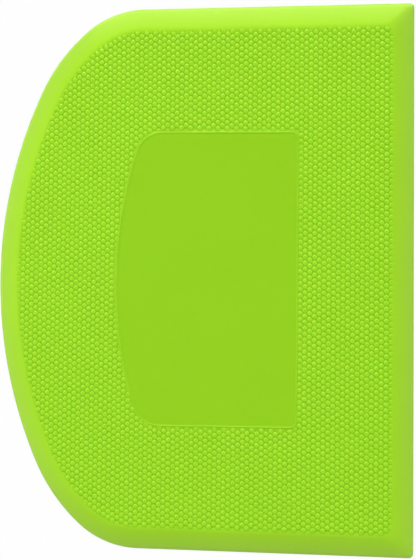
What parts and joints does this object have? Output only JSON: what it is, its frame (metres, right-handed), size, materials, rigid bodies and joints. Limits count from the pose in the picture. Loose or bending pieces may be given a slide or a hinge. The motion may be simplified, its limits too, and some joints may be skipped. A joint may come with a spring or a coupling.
{
  "type": "bowl scraper",
  "caption": "Flexible D-shaped plate for scraping bowls and dough, with a bowed edge, a straight edge, a tapered border, a dotted grip field and a smooth centre panel.",
  "frame": {"origin": "centre of the outline's bounding box, on the flat back face", "axes": "+Z through the thickness, out of the dotted face; +X from the bowed edge to the straight edge; +Y along the straight edge"},
  "size_m": [0.0908, 0.12, 0.0026],
  "materials": {
    "plastic": "satin"
  },
  "bodies": {
    "root": {"scraper": "plastic"}
  },
  "joints": []
}
